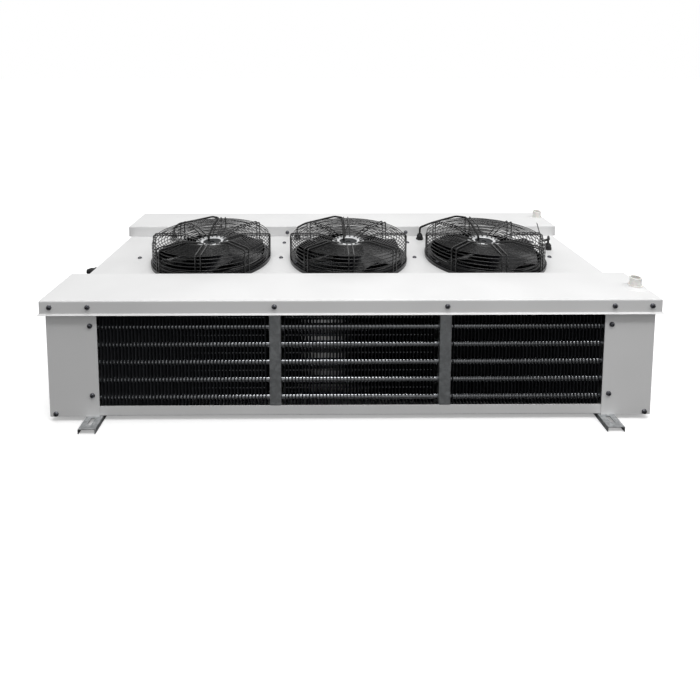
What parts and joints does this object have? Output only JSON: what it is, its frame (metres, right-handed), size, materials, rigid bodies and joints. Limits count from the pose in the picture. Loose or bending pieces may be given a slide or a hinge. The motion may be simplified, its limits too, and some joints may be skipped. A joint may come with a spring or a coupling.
{
  "type": "unit cooler",
  "caption": "Dual-discharge walk-in unit cooler: a long white casing with fan guards on its deck, finned coils and drain pans along both sides, and hanger rails.",
  "frame": {"origin": "middle of the four hanger slots, on the base panel's ceiling side", "axes": "+X along the drain pans towards their drain ends, +Y from the front coil to the rear coil, +Z from the ceiling side towards the fans, which is down when the cooler hangs"},
  "size_m": [1.679, 0.865, 0.4243],
  "materials": {
    "white_enamel": "satin",
    "galvanised_steel": "satin",
    "fin_aluminium": "mill",
    "tube_copper": "drawn",
    "black_enamel": "semi-gloss",
    "motor_aluminium": "cast",
    "plated_steel": "zinc plated",
    "cable_rubber": "matt",
    "black_nylon": "moulded",
    "white_plastic": "moulded"
  },
  "bodies": {
    "root": {"base_panel": "white_enamel", "cable_tie": "black_nylon", "cover_screws": "plated_steel", "deck_glands": "black_nylon", "deck_screws": "plated_steel", "end_cover_left": "white_enamel", "end_cover_right": "white_enamel", "end_gland": "black_nylon", "fan_cable_1": "cable_rubber", "fan_cable_2": "cable_rubber", "fan_cable_3": "cable_rubber", "fan_deck": "white_enamel", "fan_guard_1": "black_enamel", "fan_guard_2": "black_enamel", "fan_guard_3": "black_enamel", "fan_ring_1": "black_enamel", "fan_ring_2": "black_enamel", "fan_ring_3": "black_enamel", "front_coil_supports": "galvanised_steel", "front_coil_tubes": "tube_copper", "front_drain_pan": "white_enamel", "front_drain_stub": "white_plastic", "front_fin_pack": "fin_aluminium", "front_liquid_header": "tube_copper", "front_return_bends": "tube_copper", "front_suction_header": "tube_copper", "front_tube_sheet_left": "galvanised_steel", "front_tube_sheet_right": "galvanised_steel", "guard_lead": "cable_rubber", "guard_screws": "plated_steel", "hanger_rail_left": "galvanised_steel", "hanger_rail_right": "galvanised_steel", "motor_bearings": "plated_steel", "motor_stator_1": "motor_aluminium", "motor_stator_2": "motor_aluminium", "motor_stator_3": "motor_aluminium", "pan_screws": "plated_steel", "plenum_end_left": "galvanised_steel", "plenum_end_right": "galvanised_steel", "plenum_partition_left": "galvanised_steel", "plenum_partition_right": "galvanised_steel", "rear_coil_supports": "galvanised_steel", "rear_coil_tubes": "tube_copper", "rear_drain_pan": "white_enamel", "rear_drain_stub": "white_plastic", "rear_fin_pack": "fin_aluminium", "rear_liquid_header": "tube_copper", "rear_return_bends": "tube_copper", "rear_suction_header": "tube_copper", "rear_tube_sheet_left": "galvanised_steel", "rear_tube_sheet_right": "galvanised_steel"},
    "rotor_1": {"rotor_can_1": "motor_aluminium", "rotor_shaft_1": "plated_steel", "impeller_1": "black_enamel"},
    "rotor_2": {"rotor_can_2": "motor_aluminium", "rotor_shaft_2": "plated_steel", "impeller_2": "black_enamel"},
    "rotor_3": {"rotor_can_3": "motor_aluminium", "rotor_shaft_3": "plated_steel", "impeller_3": "black_enamel"}
  },
  "joints": [
    {"name": "fan_1", "type": "hinge", "parent": "root", "child": "rotor_1", "pos_m": [-0.455, 0, 0.309], "axis": [0, 0, 1], "continuous": true},
    {"name": "fan_2", "type": "hinge", "parent": "root", "child": "rotor_2", "pos_m": [0.01, 0, 0.309], "axis": [0, 0, 1], "continuous": true},
    {"name": "fan_3", "type": "hinge", "parent": "root", "child": "rotor_3", "pos_m": [0.475, 0, 0.309], "axis": [0, 0, 1], "continuous": true}
  ]
}
